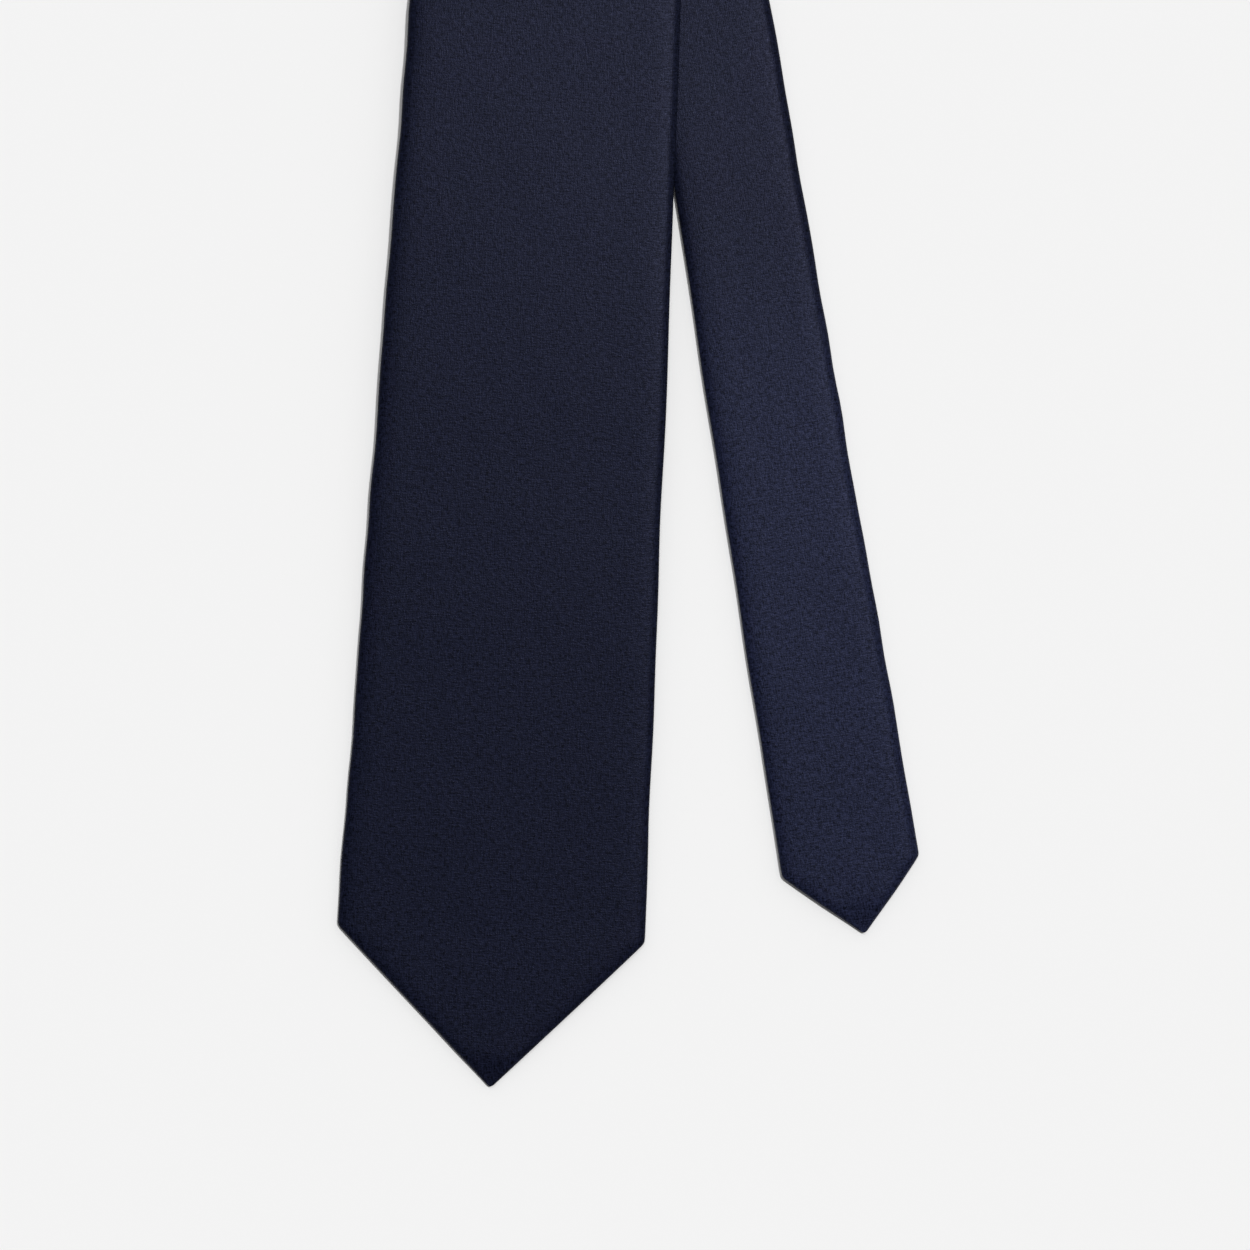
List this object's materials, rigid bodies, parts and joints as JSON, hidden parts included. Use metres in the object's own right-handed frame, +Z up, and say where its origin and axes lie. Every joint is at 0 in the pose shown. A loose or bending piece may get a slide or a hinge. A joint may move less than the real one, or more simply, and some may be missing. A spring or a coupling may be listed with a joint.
{
  "type": "necktie",
  "caption": "Dark woven silk necktie laid flat: pointed front blade crossing over a narrow pointed tail, neck doubled into a loop, with interlining, tipping, keeper and sewn back seam.",
  "frame": {"origin": "middle of the whole part's box in plan, on the surface it lies on", "axes": "+Y runs from the points to the neck, +Z is up from the table, +X is to the right when the front blade is seen face up with its point towards the viewer"},
  "size_m": [0.1643, 0.7038, 0.0074],
  "materials": {
    "silk": "fine twill silk, soft satin sheen",
    "thread": "twisted silk sewing thread",
    "interlining": "brushed wool",
    "tipping": "smooth lining cloth",
    "label": "plain woven label",
    "care_tag": "printed satin tape, left blank"
  },
  "bodies": {
    "neck": {"neck_panel": "silk", "neck_interlining": "interlining", "neck_slip_stitch": "thread", "front_fold_panel": "silk", "front_fold_interlining": "interlining", "tail_fold_panel": "silk", "tail_fold_interlining": "interlining"},
    "front": {"front_panel": "silk", "front_interlining": "interlining", "front_tipping": "tipping", "front_bar_tack": "thread", "front_slip_stitch": "thread", "front_piecing_seam": "thread", "brand_label": "label", "label_stitches": "thread", "care_tag": "care_tag", "care_tag_stitches": "thread", "keeper_stitches": "thread", "keeper_loop": "silk"},
    "tail": {"tail_neck_panel": "silk", "tail_piecing_seam": "thread", "tail_panel": "silk", "tail_interlining": "interlining", "tail_tipping": "tipping", "tail_bar_tack": "thread", "tail_slip_stitch": "thread"}
  },
  "joints": [
    {"name": "front_unfold", "type": "hinge", "parent": "neck", "child": "front", "pos_m": [0.04893, 0.33421, 0.0037], "axis": [-0.6293, 0.7771, 0], "range_deg": [0, 179.9], "deforming": ["front_fold_panel", "front_fold_interlining"]},
    {"name": "tail_unfold", "type": "hinge", "parent": "neck", "child": "tail", "pos_m": [-0.07256, 0.33428, 0.0037], "axis": [0.6088, 0.7934, 0], "range_deg": [0, 179.9], "deforming": ["tail_fold_panel", "tail_fold_interlining"]}
  ]
}
